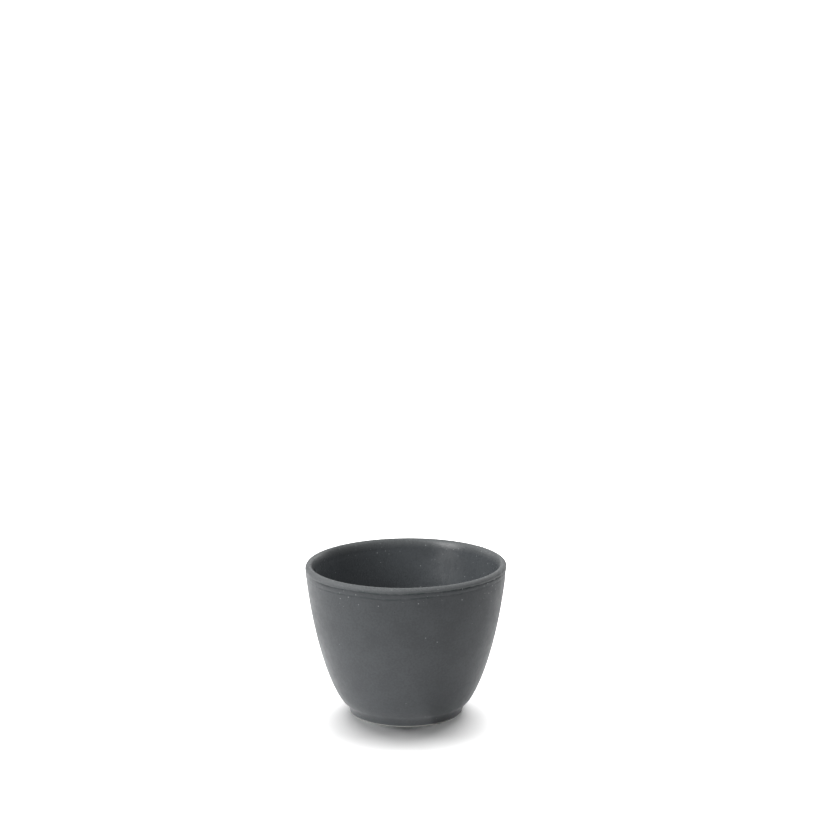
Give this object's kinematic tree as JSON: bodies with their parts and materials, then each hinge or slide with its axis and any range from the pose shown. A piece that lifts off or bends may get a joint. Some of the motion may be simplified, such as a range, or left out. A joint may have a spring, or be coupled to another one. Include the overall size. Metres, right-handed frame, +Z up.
{
  "type": "stoneware cup",
  "caption": "Handleless stoneware cup: tapering rounded wall, rounded lip with turned lines under it, flat floor and a bare foot ring. Holds a hot or cold drink.",
  "frame": {"origin": "centre of the foot ring, on the plane the cup rests on", "axes": "+Z up along the cup's axis of turning; X and Y lie in the resting plane and are alike"},
  "size_m": [0.0904, 0.0904, 0.069],
  "materials": {
    "clay": "bare fired stoneware, pale grey, fine grained and matte",
    "outer_glaze": "satin-matte dark grey glaze with fine pale specks",
    "lip_glaze": "satin dark grey glaze, breaking lighter over the lip",
    "liner_glaze": "satin dark grey glaze, a little smoother and darker than outside",
    "underside_glaze": "satin-matte dark grey glaze"
  },
  "bodies": {
    "root": {"stoneware_body": "clay", "outer_glaze": "outer_glaze", "lip_glaze": "lip_glaze", "liner_glaze": "liner_glaze", "underside_glaze": "underside_glaze"}
  },
  "joints": []
}
